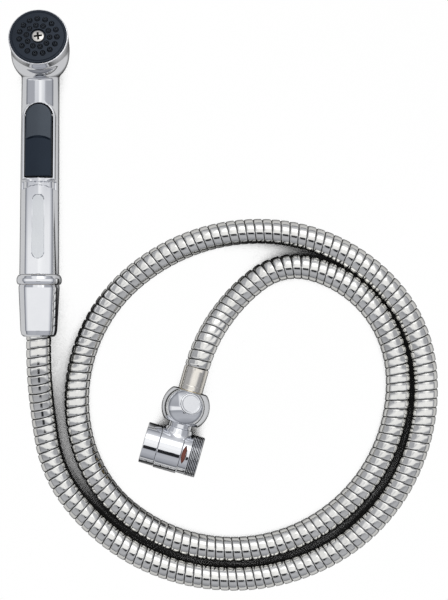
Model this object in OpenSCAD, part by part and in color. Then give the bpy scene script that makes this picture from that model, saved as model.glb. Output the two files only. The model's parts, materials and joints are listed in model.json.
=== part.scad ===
// Handheld bath sprayer on a coiled metal hose, with a diverter tee that
// screws to a tap. Millimetres, +Z up. The origin is the centre of the mouth
// of the tee's female collar. The object lies flat: the tee and the sprayer's
// handle have their axes in the plane z = 0, and the coil of hose lies lower,
// by coil_drop.

/* [Hose] */
// Outer diameter of the interlocked metal cover
hose_d = 14; // [12:0.5:16]
// Wall thickness of the metal cover
cover_t = 1.4; // [1:0.1:1.6]
// Outer diameter of the liner tube
liner_d = 11; // [10:0.5:11]
// Bore of the liner tube
liner_bore = 8; // [7:0.5:9]
// Gap left in the cover and liner at each place where the hose flexes
flex_gap = 3.2; // [2.6:0.2:4]
// Drop from the plane of the fittings down to the plane of the coil
coil_drop = 6.8; // [5:0.1:6.8]

/* [Diverter tee] */
// Angle of the tee's axis below the X axis
tee_tilt = 16; // [10:1:20]
// Length of the tee from the female mouth to the male end
tee_len = 33.2; // [32:0.1:36]
// Radius of the tee's barrel
barrel_r = 12.3; // [12:0.1:13]
// Outer radius of the turning inlet collar
collar_r = 11.8; // [11.6:0.1:12.2]
// Radius of the female thread in the inlet collar, at its crests
inlet_r = 10.6; // [10.4:0.1:10.8]
// Radius of the male outlet thread
outlet_r = 11.9; // [11.5:0.1:12]
// Radius of the diverter ball
ball_r = 13.8; // [13:0.1:15]
// Distance from the ball's centre to its flat, on the side of the tee
ball_flat = 9.5; // [9:0.1:10]
// Distance of the ball's centre from the tee's axis
ball_rise = 25.8; // [25:0.1:27]
// Turn of the ball's cap about the neck
ball_turn = 12; // [0:1:20]

/* [Sprayer] */
// Radius of the handle at the trim ring
handle_r0 = 11.3; // [11:0.1:12]
// Radius of the handle at the head
handle_r1 = 10.7; // [10.4:0.1:11]
// Largest radius of the trim ring
ring_r = 12.9; // [12:0.1:13.4]
// Radius of the head
head_r = 16.6; // [16.4:0.1:17]
// Tilt of the spray face towards the far end
face_tilt = 17; // [5:1:25]
// Width of the thumb lever
lever_w = 15; // [14:0.1:15.4]
// Nubs in the outer ring of the face
nubs_outer = 15; // [9:1:16]
// Nubs in the inner ring of the face
nubs_inner = 10; // [5:1:11]

/* [Hidden] */
$fn = 96;

chrome = [0.80, 0.81, 0.83];
steel = [0.66, 0.67, 0.68];
black = [0.10, 0.10, 0.12];
brass = [0.78, 0.66, 0.38];
seal = [0.16, 0.15, 0.15];
sleeve_grey = [0.72, 0.69, 0.64];
fibre_brown = [0.42, 0.20, 0.16];

// ---- rigid frames -------------------------------------------------------
function shift(v) = [[1,0,0,v[0]], [0,1,0,v[1]], [0,0,1,v[2]], [0,0,0,1]];
function turn_z(a) = [[cos(a),-sin(a),0,0], [sin(a),cos(a),0,0], [0,0,1,0], [0,0,0,1]];
function turn_x(a) = [[1,0,0,0], [0,cos(a),-sin(a),0], [0,sin(a),cos(a),0], [0,0,0,1]];
// The frame at m's place, level, at height z, with m's heading
function level(m, z) = shift([m[0][3], m[1][3], z]) * turn_z(atan2(m[1][0], m[0][0]));

// ---- shapes -------------------------------------------------------------
// Cylinders, or cones when r_end is given, along each axis
module along_z(z0, z1, r, r_end = undef)
    translate([0, 0, z0])
        cylinder(r1 = r, r2 = is_undef(r_end) ? r : r_end, h = z1 - z0);
module along_y(y0, y1, r, r_end = undef)
    rotate([-90, 0, 0]) along_z(y0, y1, r, r_end);
module along_x(x0, x1, r, r_end = undef)
    rotate([0, 90, 0]) along_z(x0, x1, r, r_end);

// Tubes; these also cut the grooves
module tube_z(z0, z1, inner, outer) difference() {
    along_z(z0, z1, outer);
    along_z(z0 - 1, z1 + 1, inner);
}
module tube_y(y0, y1, inner, outer) rotate([-90, 0, 0]) tube_z(y0, y1, inner, outer);
module tube_x(x0, x1, inner, outer) rotate([0, 90, 0]) tube_z(x0, x1, inner, outer);

module oring_z(z, r, thick_r)
    translate([0, 0, z]) rotate_extrude() translate([r, 0]) circle(r = thick_r, $fn = 24);
module oring_y(y, r, thick_r) rotate([-90, 0, 0]) oring_z(y, r, thick_r);

// A tongue: square at y0, round at y1
module tongue(y0, y1, w, z0, z1) translate([0, 0, z0]) linear_extrude(z1 - z0) union() {
    translate([-w/2, y0]) square([w, y1 - w/2 - y0]);
    translate([0, y1 - w/2]) circle(d = w);
}

// A helical spring along z: a ring of points at each step, skinned
module spring(r, wire_r, height, turns, steps = 20, sides = 8) {
    count = turns * steps;
    points = [for (i = [0 : count], k = [0 : sides - 1])
        let (around = i*360/steps,
            across = k*360/sides,
            z = wire_r + (height - 2*wire_r) * i/count,
            reach = r + wire_r*cos(across))
        [reach*cos(around), reach*sin(around), z + wire_r*sin(across)]];
    walls = [for (i = [0 : count - 1], k = [0 : sides - 1])
        let (next = (k + 1) % sides)
        [i*sides + k, (i + 1)*sides + k, (i + 1)*sides + next, i*sides + next]];
    start_cap = [for (k = [0 : sides - 1]) k];
    end_cap = [for (k = [sides - 1 : -1 : 0]) count*sides + k];
    polyhedron(points = points, faces = concat(walls, [start_cap], [end_cap]), convexity = 8);
}

// ---- the lay of the hose ------------------------------------------------
hose_r = hose_d/2;
cover_in = hose_r - cover_t;
half_gap = flex_gap/2;
// Parting between one length of the hose and the next
seam = 0.1;
// Most that one length of the cover turns, outside the coil and in it
cover_turn = 14;
coil_turn = 24;
// Straight hose inside the cone nut, and liner inside the sleeve
nut_straight = 10.8;
sleeve_straight = 12.1;

// A bend is [radius, turn, roll]: a turn to the right, in a plane that is
// rolled about the hose's own direction. The hose runs along its frame's x.
function bend_end(bend) = let (radius = bend[0], turn = bend[1], roll = bend[2])
    turn_x(roll) * shift([radius*sin(turn), -radius*(1 - cos(turn)), 0])
    * turn_z(-turn) * turn_x(-roll);
function run_end(bends, i = 0) = i >= len(bends) ? shift([0, 0, 0])
    : bend_end(bends[i]) * run_end(bends, i + 1);
// Two equal bends, rolled opposite ways, raise or lower the hose by coil_drop
function drop_roll(radius, turn) = asin(coil_drop / (radius * pow(sin(turn), 2)));
function drop_bends(radius, turn, way) = let (roll = way*drop_roll(radius, turn))
    [[radius, turn, roll], [radius, turn, -roll]];
// Each bend cut into equal lengths that turn no more than most degrees
function lengths(bends, most) = [for (bend = bends) let (n = ceil(bend[1]/most))
    for (k = [1 : n]) [bend[0], bend[1]/n, bend[2]]];

// The runs, in order from the diverter to the sprayer
tail_bends = drop_bends(64, 22, 1);
inner_bends = [[90, 9.5, 0], [36, 51.5, 0]];
coil_bends = [[67, 72, 0], [95.5, 131.5, 0], [77.5, 34.5, 0], [92.5, 65.5, 0],
    [111, 46, 0], [99.5, 42, 0], [82, 37.5, 0], [111.5, 32.5, 0], [104, 32.5, 0]];
rise_bends = [[115.5, 44, 0]];
swing_bends = [[116, 40, 0], [75, 14.5, 0]];
lead_bends = concat([[75.5, 12.5, 0]], drop_bends(105, 15.2, -1));

// Place of the ball's neck along the tee, and of the hose's start up the neck
ball_x = 17.5;
hose_start = 49.1;
tail_frame = turn_z(-tee_tilt) * shift([ball_x, hose_start, 0]) * turn_z(90);
inner_frame = level(tail_frame * run_end(tail_bends), -coil_drop);
coil_frame = inner_frame * run_end(inner_bends);
rise_frame = coil_frame * run_end(coil_bends);
swing_frame = rise_frame * run_end(rise_bends);
lead_frame = swing_frame * run_end(swing_bends);
end_frame = lead_frame * run_end(lead_bends);
sprayer_at = [end_frame[0][3], end_frame[1][3], 0];
// The handle stands in line with the hose's end
handle_lean = atan2(end_frame[0][0], end_frame[1][0]);

// One bend of tube, short of its ends by the lengths skip0 and skip1
module bend_tube(bend, inner, outer, skip0, skip1) {
    radius = bend[0];
    start = skip0 / radius * 180 / PI;
    end = bend[1] - skip1 / radius * 180 / PI;
    rotate([bend[2], 0, 0]) translate([0, -radius, 0]) rotate([0, 0, 90 - end])
        rotate_extrude(angle = end - start) translate([radius, 0]) difference() {
            circle(r = outer, $fn = 48);
            circle(r = inner, $fn = 48);
        }
}
module run(bends, inner, outer, skip0, skip1, i = 0) {
    last = i == len(bends) - 1;
    bend_tube(bends[i], inner, outer, i == 0 ? skip0 : seam/2, last ? skip1 : seam/2);
    if (!last)
        multmatrix(bend_end(bends[i])) run(bends, inner, outer, skip0, skip1, i + 1);
}
module cover(frame, bends, skip0 = half_gap, skip1 = half_gap, most = cover_turn)
    color(steel) multmatrix(frame)
        run(lengths(bends, most), cover_in, hose_r, skip0, skip1);
module liner(frame, bends, skip0 = half_gap, skip1 = half_gap)
    color(seal) multmatrix(frame) run(bends, liner_bore/2, liner_d/2, skip0, skip1);

module hose_cover_coil() cover(coil_frame, coil_bends, most = coil_turn);
module hose_liner_coil() liner(coil_frame, coil_bends);
module hose_cover_rise() cover(rise_frame, rise_bends);
module hose_liner_rise() liner(rise_frame, rise_bends);
module hose_cover_swing() cover(swing_frame, swing_bends);
module hose_liner_swing() liner(swing_frame, swing_bends);
module hose_cover_lead() color(steel) union() {
    cover(lead_frame, lead_bends, skip1 = 0);
    multmatrix(end_frame) tube_x(seam, nut_straight, cover_in, hose_r);
}
module hose_liner_lead() color(seal) union() {
    liner(lead_frame, lead_bends, skip1 = 0);
    multmatrix(end_frame) tube_x(seam, nut_straight, liner_bore/2, liner_d/2);
}
module hose_cover_inner() cover(inner_frame, inner_bends);
module hose_liner_inner() liner(inner_frame, inner_bends);
module hose_cover_tail() cover(tail_frame, tail_bends, skip0 = seam);
module hose_liner_tail() color(seal) union() {
    liner(tail_frame, tail_bends, skip0 = 0);
    multmatrix(tail_frame) tube_x(-sleeve_straight, -seam, liner_bore/2, liner_d/2);
}

// ---- sprayer: y runs up the handle from the hose's end --------------------
nut_y0 = 5.2;
ring_y0 = 34.8;
handle_y0 = 40.6;
handle_y1 = 160;
head_y = 170.4;
head_z = 3.2;
valve_y = 108;
pivot_y = 131;
pivot_z = 8.2;
pin_r = 1;
lever_y0 = 96.2;
lever_y1 = 137.4;
pocket_z = 4.6;
lever_z0 = 9.6;
lever_z1 = 13.3;
// Spigot that plugs into the handle, and the place of its O-ring
spigot_r = 8.9;
spigot_seal_y = 48;
// Heights of the waterways into and out of the valve
inflow_z = -5.4;
outflow_z = -0.4;
// Valve block, its O-rings' heights, its guide's radius and its stem
block_r = 6;
block_z0 = -8.1;
block_z1 = 4.4;
block_seals = [-2.9, 3.0];
guide_r = 4.55;
stem_r = 1.54;
// Parts stacked in the recess of the face, up the head's axis
recess_z = 11.1;
face_r = 15.6;
screw_r = 1.95;
screw_hole_r = 2.1;
nub_z0 = 16.4;
nub_z1 = 17.6;
nub_outer_at = 10.7;
nub_inner_at = 6.6;

module at_sprayer() translate(sprayer_at) rotate([0, 0, -handle_lean]) children();
module at_head()
    at_sprayer() translate([0, head_y, head_z]) rotate([-face_tilt, 0, 0]) children();
module at_valve() at_sprayer() translate([0, valve_y, 0]) children();
module at_pivot() at_sprayer() translate([0, pivot_y, pivot_z]) children();
module ring_of(n, r)
    for (i = [0 : n - 1]) rotate([0, 0, i*360/n]) translate([0, r, 0]) children();
module at_nubs() {
    ring_of(nubs_outer, nub_outer_at) children();
    ring_of(nubs_inner, nub_inner_at) children();
}

module sprayer_body() color(chrome) difference() {
    union() {
        at_sprayer() along_y(handle_y0, handle_y1, handle_r0, handle_r1);
        at_sprayer() tongue(lever_y0 - 1.8, lever_y1 + 1.5, lever_w + 3.5, 0, lever_z0);
        at_head() sphere(r = head_r);
        at_head() along_z(0, 15.2, head_r, head_r + 0.3);
    }
    // bore for the spigot and the waterway up to the valve
    at_sprayer() along_y(handle_y0 - 1, 52.6, spigot_r + 0.05);
    at_sprayer() along_y(52, 84, 7.2);
    at_sprayer() translate([0, 0, inflow_z]) along_y(83, 104, 1.9);
    // lever pocket, valve pocket and pin bore
    at_sprayer() tongue(lever_y0 - 0.5, lever_y1 + 0.3, lever_w + 0.9, pocket_z, 40);
    at_valve() along_z(block_z0 - 0.1, 8, block_r + 0.05);
    at_pivot() along_x(-30, 30, pin_r);
    // waterway to the head
    at_sprayer() translate([0, 0, outflow_z]) along_y(112, 160, 2.1);
    // water chamber and face recess, round the screw's post
    at_head() difference() {
        along_z(-3, 13, 14.2);
        along_z(-4, recess_z, 4.2);
    }
    at_head() along_z(recess_z, 20, face_r + 0.1);
    at_head() along_z(0, 20, screw_r + 0.05);
    // recessed flat on the top of the handle
    at_sprayer() translate([-3.4, 49.8, 10.65]) cube([6.8, 36.2, 4]);
}
module spray_face() color(black) at_head() difference() {
    union() {
        along_z(13.0, 15.3, face_r);
        along_z(15.3, 16.5, 16.3, 15.9);
        at_nubs() along_z(nub_z0, nub_z1, 1.15, 0.95);
    }
    // jets, and the counterbored hole for the screw
    at_nubs() along_z(12, 20, 0.45);
    along_z(12, 20, screw_hole_r);
    along_z(15.4, 20, 4.0);
}
module face_screw() color(chrome) at_head() difference() {
    union() {
        along_z(3, 15.5, screw_r);
        along_z(15.45, 16.9, 3.45, 3.0);
    }
    // crossed slots
    for (a = [45, 135]) rotate([0, 0, a]) translate([-1.9, -0.35, 16.1]) cube([3.8, 0.7, 2]);
}
module face_gasket() color(seal) at_head() tube_z(12.35, 12.95, 13.9, face_r);
module flow_disc() color(steel) at_head() difference() {
    along_z(recess_z + 0.05, 12.3, face_r);
    along_z(11, 14, screw_hole_r);
    at_nubs() along_z(11, 14, 0.8);
}

module valve_block() color(brass) at_valve() difference() {
    along_z(block_z0, block_z1, block_r);
    // lower chamber, seat, upper chamber and seat for the guide
    along_z(-7.7, -3.4, 4.2);
    along_z(-4, -1, 2.4);
    along_z(-2.2, 2, 4.2);
    along_z(1.4, 6, guide_r + 0.05);
    // ports
    translate([0, 0, inflow_z]) along_y(-8, 0, 1.6);
    translate([0, 0, outflow_z]) along_y(0, 8, 1.8);
    for (z = block_seals) tube_z(z - 0.55, z + 0.55, 5.0, 9);
}
module valve_block_orings() color(seal) at_valve()
    for (z = block_seals) oring_z(z, 5.5, 0.48);
module stem_guide() color(brass) at_valve() difference() {
    along_z(1.45, block_z1, guide_r);
    along_z(0, 6, 1.6);
    // groove for the stem's O-ring
    along_z(2.4, 3.5, 2.65);
}
module stem_oring() color(seal) at_valve() oring_z(2.95, 2.12, 0.5);
module valve_stem() color(steel) at_valve() union() {
    along_z(-5.5, 8.5, stem_r);
    // button under the lever
    along_z(8.45, 8.9, 3.2);
    along_z(8.89, 9.5, 3.2, 0.4);
    // flange under the washer
    along_z(-5.5, -5.0, 2.6);
}
module valve_washer() color(seal) at_valve() tube_z(-4.98, -3.45, stem_r + 0.02, 3.6);
module valve_spring() color(steel) at_valve() translate([0, 0, block_z1 + 0.02])
    spring(r = 2.5, wire_r = 0.28, height = 4.0, turns = 3.5);

module lever_pin() color(steel) at_pivot() along_x(-9.2, 9.2, pin_r - 0.01);
module thumb_lever() color(black) at_sprayer() difference() {
    union() {
        tongue(lever_y0, lever_y1, lever_w, lever_z0, lever_z1);
        // lug round the pin
        translate([-3, pivot_y - 2.2, 6.2]) cube([6, 4.4, 4]);
    }
    translate([0, pivot_y, pivot_z]) along_x(-30, 30, pin_r + 0.05);
    // the top falls away towards the head
    translate([0, lever_y1 - 9, lever_z1]) rotate([-8, 0, 0])
        translate([-20, 0, 0]) cube([40, 30, 10]);
}

// Profile points are [radius, y]
module trim_ring() color(chrome) at_sprayer() rotate([-90, 0, 0]) rotate_extrude()
    polygon([[9.72, ring_y0 + 0.1], [11.9, ring_y0 + 0.1], [ring_r - 0.4, ring_y0 + 0.8],
        [ring_r, ring_y0 + 2.2], [ring_r, ring_y0 + 3.2], [ring_r - 0.5, ring_y0 + 4.6],
        [11.6, handle_y0 - 0.1], [9.72, handle_y0 - 0.1]]);
module inlet_spigot() color(brass) at_sprayer() difference() {
    union() {
        along_y(14.8, 40.5, 9.65);
        along_y(40.4, 52.4, spigot_r);
    }
    // check valve pocket and waterway
    along_y(14, 27.6, 6.5);
    along_y(27, 54, 5.0);
    // groove for the O-ring that seals it in the handle
    tube_y(spigot_seal_y - 1, spigot_seal_y + 1, 7.7, 12);
}
module spigot_oring() color(seal) at_sprayer() oring_y(spigot_seal_y, 8.3, 0.58);
module check_valve_cage() color(black) at_sprayer() union() {
    difference() {
        along_y(16, 27.5, 6.45);
        along_y(15, 30, 3.0);
        along_y(17.2, 30, 5.0);
    }
    // cross bars beyond the poppet and its spring
    for (a = [0, 90]) rotate([0, a, 0]) translate([-5.2, 26, -0.6]) cube([10.4, 1.4, 1.2]);
}
module check_valve_poppet() color(black) at_sprayer() union() {
    along_y(17.3, 18.8, 4.2);
    along_y(18.7, 23.8, 1.0);
}
module check_valve_spring() color(steel) at_sprayer()
    translate([0, 18.9, 0]) rotate([-90, 0, 0])
        spring(r = 2.6, wire_r = 0.25, height = 4.4, turns = 4);

// Profile points are [radius, y]
module cone_nut() color(chrome) at_sprayer() rotate([-90, 0, 0]) rotate_extrude()
    polygon([[7.5, nut_y0], [8.6, nut_y0], [9.7, nut_y0 + 0.9], [10.4, nut_y0 + 2.4],
        [10.6, nut_y0 + 3.7], [11.75, ring_y0 - 1.2], [11.5, ring_y0 - 0.2],
        [9.75, ring_y0 - 0.2], [9.75, 11], [7.5, 11]]);
module hose_end_flange() color(brass) at_sprayer() difference() {
    union() {
        along_y(11.15, 12.6, 9.5);
        along_y(3, 12, 3.4);
    }
    along_y(2, 14, 2.8);
}
module hose_washer() color(seal) at_sprayer() tube_y(12.65, 14.7, 4.2, 9.0);

// ---- diverter: x runs from the female mouth to the male end, and y from the
// tee's axis through the ball to the hose ------------------------------------
cap_lean = 14.5;
cap_pocket_r = 5.9;
cap_pocket_z = 9.2;
// Height at which the cap's pocket meets the ball's surface
cap_z = sqrt(pow(ball_r, 2) - pow(cap_pocket_r, 2));
spool_r = 4.4;
spool_seals = [7, 10.5];
barb_seal_y = 33;
barb_bore_r = 2.6;

module at_tee() rotate([0, 0, -tee_tilt]) children();
module at_neck() at_tee() translate([ball_x, 0, 0]) children();
module at_ball() at_neck() translate([0, ball_rise, 0]) rotate([0, ball_turn, 0]) children();
// The ball's cap leans towards the hose
module at_cap() at_ball() rotate([-cap_lean, 0, 0]) children();

module hose_sleeve() color(sleeve_grey) at_neck() tube_y(36.2, 49.0, 5.55, 7.05);
module hose_barb() color(brass) at_neck() difference() {
    union() {
        along_y(28.9, 30.4, 7.0);
        along_y(30.3, 36.1, 6.0);
        along_y(35.5, 36.1, 6.9);
        along_y(36, 47, 3.5);
        for (y = [38.5 : 2.5 : 46]) along_y(y, y + 1.6, 3.95, 3.5);
    }
    along_y(28, 48, barb_bore_r);
    tube_y(barb_seal_y - 0.6, barb_seal_y + 0.6, 4.8, 9);
}
module barb_oring() color(seal) at_neck() oring_y(barb_seal_y, 5.4, 0.55);
module diverter_ball() color(chrome) difference() {
    at_ball() intersection() {
        sphere(r = ball_r);
        along_y(-ball_flat, ball_flat, 20);
    }
    // bores for the spool, the barb's flange and the barb's body
    at_neck() along_y(10, 22, spool_r + 0.02);
    at_neck() along_y(21.5, 30.45, 7.5);
    at_neck() along_y(30, 40, 6.05);
    at_cap() along_z(cap_pocket_z, 20, cap_pocket_r);
}
module ball_cap() color(chrome) at_cap() difference() {
    along_z(cap_pocket_z + 0.05, cap_z, cap_pocket_r - 0.04);
    along_z(cap_z - 0.25, 20, 4.9);
}
module diverter_spool() color(brass) at_neck() difference() {
    union() {
        along_y(-6.5, 21.4, spool_r);
        along_y(12.7, 13.5, 5.8);
    }
    // blind bore and cross port
    along_y(-5.5, 30, 2.6);
    rotate([0, ball_turn, 0]) along_x(-10, 10, 2.9);
    for (y = spool_seals) tube_y(y - 0.6, y + 0.6, 3.3, 8);
}
module spool_orings() color(seal) at_neck() for (y = spool_seals) oring_y(y, 3.88, 0.53);
module tee_body() color(chrome) difference() {
    union() {
        at_tee() along_x(8.6, 22.2, barrel_r);
        at_tee() along_x(5.9, 8.7, 8.5);
        at_tee() along_x(22, 29.9, 8.4);
        // the ball's neck stops short of the outlet adapter
        difference() {
            union() {
                at_neck() along_y(0, 16.1, 6.9);
                at_neck() along_y(10, 13.4, 8.6, 7.6);
            }
            at_tee() along_x(22.25, 40, 11.7);
        }
    }
    // waterway, spool bore, seat for the spool's flange and clip groove
    at_tee() along_x(0, 40, 5.4);
    at_neck() along_y(-7, 20, spool_r + 0.05);
    at_neck() along_y(12.6, 20, 5.9);
    at_neck() along_y(13.6, 14.6, 6.3);
    // groove for the collar's clip
    at_tee() tube_x(6.4, 7.1, 7.8, 12);
}
// The opening that shows the fibre washer: a leaf between two upright cylinders
module washer_window() at_tee() translate([24.05, 0, 8.7]) intersection() {
    translate([-9.5, 0, 0]) cylinder(r = 10.9, h = 6);
    translate([9.5, 0, 0]) cylinder(r = 10.9, h = 6);
}
module outlet_adapter() color(chrome) difference() {
    union() {
        at_tee() along_x(22.3, 27.1, 11.6);
        at_tee() along_x(27, tee_len - 0.6, outlet_r);
        at_tee() along_x(tee_len - 0.6, tee_len, outlet_r, outlet_r - 0.6);
    }
    at_tee() along_x(20, 40, 8.45);
    at_tee() along_x(20, 25.2, 10.65);
    at_tee() along_x(30.2, 40, 9.4);
    washer_window();
}
module spool_clip() color(steel) at_neck() difference() {
    tube_y(13.65, 14.45, 4.9, 6.25);
    translate([-1.2, 10, 0]) cube([2.4, 10, 20]);
}
module fibre_washer() color(fibre_brown) at_tee() tube_x(22.35, 25.1, 8.5, 10.55);
module inlet_washer() color(seal) at_tee() tube_x(4.3, 5.85, 6, 10.2);
module collar_clip() color(steel) at_tee() difference() {
    tube_x(6.45, 7.05, 7.85, 9.6);
    translate([0, -1.3, 0]) cube([20, 2.6, 20]);
}
module inlet_collar() color(chrome) at_tee() difference() {
    union() {
        along_x(0, 0.5, collar_r - 0.4, collar_r);
        along_x(0.5, 8.5, collar_r);
    }
    along_x(-1, 4.1, inlet_r);
    along_x(4, 7.1, 10.25);
    along_x(-1, 10, 8.56);
}

sprayer_body();
spray_face();
face_screw();
face_gasket();
flow_disc();
valve_block();
valve_block_orings();
stem_guide();
stem_oring();
lever_pin();
trim_ring();
inlet_spigot();
spigot_oring();
check_valve_cage();
thumb_lever();
valve_stem();
valve_washer();
valve_spring();
check_valve_poppet();
check_valve_spring();
cone_nut();
hose_end_flange();
hose_washer();
hose_cover_coil();
hose_liner_coil();
hose_cover_rise();
hose_liner_rise();
hose_cover_swing();
hose_liner_swing();
hose_cover_lead();
hose_liner_lead();
hose_cover_inner();
hose_liner_inner();
hose_cover_tail();
hose_liner_tail();
hose_sleeve();
hose_barb();
barb_oring();
diverter_ball();
ball_cap();
diverter_spool();
spool_orings();
tee_body();
outlet_adapter();
spool_clip();
fibre_washer();
inlet_washer();
collar_clip();
inlet_collar();
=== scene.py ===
"""A handheld bath sprayer, its wound metal hose and its diverter tee, laid out flat.

The tee sits at the origin, its axis 16 degrees off +X. The hose leaves its neck, coils
in the XY plane and ends at the sprayer's cone nut. +Z is up, towards the camera.
Lengths are millimetres until a mesh, light or camera is made.
"""
import json
import math

import bpy
import numpy as np
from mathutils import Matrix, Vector


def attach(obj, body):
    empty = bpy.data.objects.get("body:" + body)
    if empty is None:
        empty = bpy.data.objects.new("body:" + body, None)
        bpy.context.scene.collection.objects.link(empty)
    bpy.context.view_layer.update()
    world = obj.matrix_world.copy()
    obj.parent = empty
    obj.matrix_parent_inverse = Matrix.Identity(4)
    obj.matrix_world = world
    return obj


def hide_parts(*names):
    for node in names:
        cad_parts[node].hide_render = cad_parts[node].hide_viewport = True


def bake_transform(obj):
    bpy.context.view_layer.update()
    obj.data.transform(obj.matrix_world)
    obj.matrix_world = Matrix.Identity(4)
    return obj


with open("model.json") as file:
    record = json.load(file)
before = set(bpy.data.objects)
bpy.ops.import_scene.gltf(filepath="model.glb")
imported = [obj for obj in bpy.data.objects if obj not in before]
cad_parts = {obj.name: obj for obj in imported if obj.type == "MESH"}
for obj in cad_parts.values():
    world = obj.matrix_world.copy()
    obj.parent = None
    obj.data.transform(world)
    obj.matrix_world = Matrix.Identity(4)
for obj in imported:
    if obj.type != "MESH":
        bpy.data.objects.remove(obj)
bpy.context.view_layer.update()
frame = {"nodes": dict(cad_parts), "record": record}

MM = 0.001
scene = bpy.context.scene

# ------------------------------------------------------------------ places and meshes


def rot(axis, degrees):
    angle = math.radians(degrees)
    c, s = math.cos(angle), math.sin(angle)
    return np.array({"x": [[1, 0, 0], [0, c, -s], [0, s, c]],
                     "y": [[c, 0, s], [0, 1, 0], [-s, 0, c]],
                     "z": [[c, -s, 0], [s, c, 0], [0, 0, 1]]}[axis], float)


class Place:
    """A rigid placing: a rotation, then a shift in millimetres."""

    def __init__(self, turn=None, shift=(0, 0, 0)):
        self.turn = np.eye(3) if turn is None else np.array(turn, float)
        self.shift = np.array(shift, float)

    def __mul__(self, other):
        return Place(self.turn @ other.turn, self.turn @ other.shift + self.shift)

    def points(self, points):
        return points @ self.turn.T + self.shift

    def directions(self, directions):
        return directions @ self.turn.T


def unit_rows(vectors):
    return vectors / np.maximum(np.linalg.norm(vectors, axis=1, keepdims=True), 1e-9)


def make_mesh(name, verts, faces, normals, place, body, material):
    """A smooth mesh from verts in mm, an (n, 4) array of faces and a normal for each vertex."""
    mesh = bpy.data.meshes.new(name)
    count, sides = faces.shape
    mesh.vertices.add(len(verts))
    mesh.vertices.foreach_set("co", (place.points(verts) * MM).astype(np.float32).ravel())
    mesh.loops.add(count * sides)
    mesh.polygons.add(count)
    mesh.loops.foreach_set("vertex_index", faces.astype(np.int32).ravel())
    mesh.polygons.foreach_set("loop_start", np.arange(0, count * sides, sides, dtype=np.int32))
    mesh.update(calc_edges=True)
    mesh.validate()
    mesh.polygons.foreach_set("use_smooth", np.ones(len(mesh.polygons), bool))
    mesh.normals_split_custom_set_from_vertices(unit_rows(place.directions(normals)).tolist())
    mesh.update()
    ob = bpy.data.objects.new(name, mesh)
    scene.collection.objects.link(ob)
    mesh.materials.append(material)
    if body:
        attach(ob, body)
    return ob


def face_cross(verts, faces):
    first = verts[faces[:, 0]]
    return np.cross(verts[faces[:, 1]] - first, verts[faces[:, 3]] - first)


def paint(ob, place, inside, material):
    """Give material to the faces whose middle, in the place's own frame, passes inside()."""
    mesh = ob.data
    middle = np.zeros(3 * len(mesh.polygons), np.float32)
    mesh.polygons.foreach_get("center", middle)
    points = (middle.reshape(-1, 3).astype(float) / MM - place.shift) @ place.turn
    mesh.materials.append(material)
    index = np.zeros(len(mesh.polygons), np.int32)
    mesh.polygons.foreach_get("material_index", index)
    index = np.where(inside(*points.T), len(mesh.materials) - 1, index)
    mesh.polygons.foreach_set("material_index", index.astype(np.int32))


# ------------------------------------------------------------------ solids as distance fields
# A shape takes (n, 3) points and gives a value below 0 inside. Each join, meet and carve is
# rounded over the length given last.


def join(a, b, blend):
    share = np.clip(0.5 + 0.5 * (b - a) / blend, 0, 1)
    return b + (a - b) * share - blend * share * (1 - share)


def meet(a, b, blend):
    return -join(-a, -b, blend)


def carve(solid, hole, blend):
    return meet(solid, -hole, blend)


def tongue(x, y, bottom, top, width, blend=0.4):
    """An outline square at its bottom and half round at its top."""
    cap_y = top - width / 2
    box = meet(np.abs(x) - width / 2, bottom - y, blend)
    cap = np.hypot(x, y - cap_y) - width / 2
    return np.where(y > cap_y, cap, box)


def thread_wave(along, across, up, pitch):
    """0 to 1 across each turn of a screw thread: 0 on its crest, 1 in its root."""
    angle = np.arctan2(up, across)
    return np.abs(((along / pitch - angle / (2 * math.pi)) % 1.0) - 0.5) * 2


def gradient(shape, points):
    reach = 0.02
    slope = np.empty_like(points)
    for k in range(3):
        step = np.zeros(3)
        step[k] = reach
        slope[:, k] = (shape(points + step) - shape(points - step)) / (2 * reach)
    return slope


def sample_grid(shape, low, high, cell):
    count = np.ceil((high - low) / cell).astype(int) + 1
    axes = [low[k] + cell * np.arange(count[k]) for k in range(3)]
    grid_y, grid_z = np.meshgrid(axes[1], axes[2], indexing="ij")
    value = np.empty(count)
    for i in range(count[0]):
        grid_x = np.full(grid_y.shape, axes[0][i])
        points = np.stack([grid_x, grid_y, grid_z], -1).reshape(-1, 3)
        value[i] = shape(points).reshape(grid_y.shape)
    value[value == 0] = 1e-9
    return value


def cell_points(value, cells):
    """For each cell, the mean of the places where its edges cross the surface, in cells."""
    total = np.zeros((len(cells), 3))
    crossings = np.zeros(len(cells))
    for corner in np.ndindex(2, 2, 2):
        for k in range(3):
            if corner[k]:
                continue
            start, step = np.array(corner), np.eye(3, dtype=int)[k]
            value_a = value[tuple((cells + start).T)]
            value_b = value[tuple((cells + start + step).T)]
            cut = (value_a < 0) != (value_b < 0)
            share = value_a[cut] / (value_a[cut] - value_b[cut])
            total[cut] += start + share[:, None] * step
            crossings[cut] += 1
    return cells + total / crossings[:, None]


def net_quads(inside, cell_index):
    """A quad round each grid edge that crosses the surface."""
    quads = []
    for k in range(3):
        u, v = (k + 1) % 3, (k + 2) % 3
        edges = np.argwhere(np.diff(inside, axis=k))
        keep = np.ones(len(edges), bool)
        for side in (u, v):
            keep &= (edges[:, side] >= 1) & (edges[:, side] <= inside.shape[side] - 2)
        edges = edges[keep]
        step_u, step_v = np.eye(3, dtype=int)[[u, v]]
        around = (edges, edges - step_u, edges - step_u - step_v, edges - step_v)
        quad = np.stack([cell_index[tuple(cell.T)] for cell in around], 1)
        outside = ~inside[tuple(edges.T)]
        quad[outside] = quad[outside][:, ::-1]
        quads.append(quad)
    quads = np.concatenate(quads)
    return quads[(quads >= 0).all(1)]


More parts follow.
